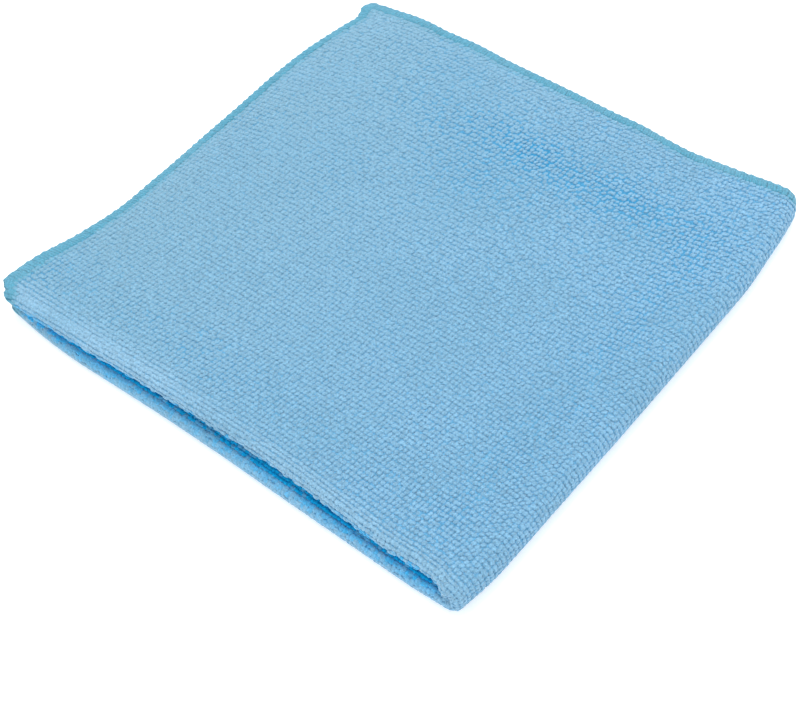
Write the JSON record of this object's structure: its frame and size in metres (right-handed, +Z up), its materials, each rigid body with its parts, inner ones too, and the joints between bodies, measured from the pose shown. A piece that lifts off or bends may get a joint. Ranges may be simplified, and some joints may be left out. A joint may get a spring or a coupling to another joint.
{
  "type": "folded microfibre cloth",
  "caption": "Square looped microfibre cleaning cloth with an overlocked edge, folded in quarters and lying flat.",
  "frame": {"origin": "on the surface the cloth lies on, under the middle of its bounding box", "axes": "+Z up through the stack; the first fold's two folded edges face -Y, the second fold faces +X, and the overlocked edges end at -X and +Y"},
  "size_m": [0.2014, 0.2002, 0.0119],
  "materials": {
    "microfibre": "pale sky-blue looped pile, matt with a soft sheen, teal-blue overlock thread round the edge"
  },
  "bodies": {
    "root": {"cloth": "microfibre"}
  },
  "joints": []
}
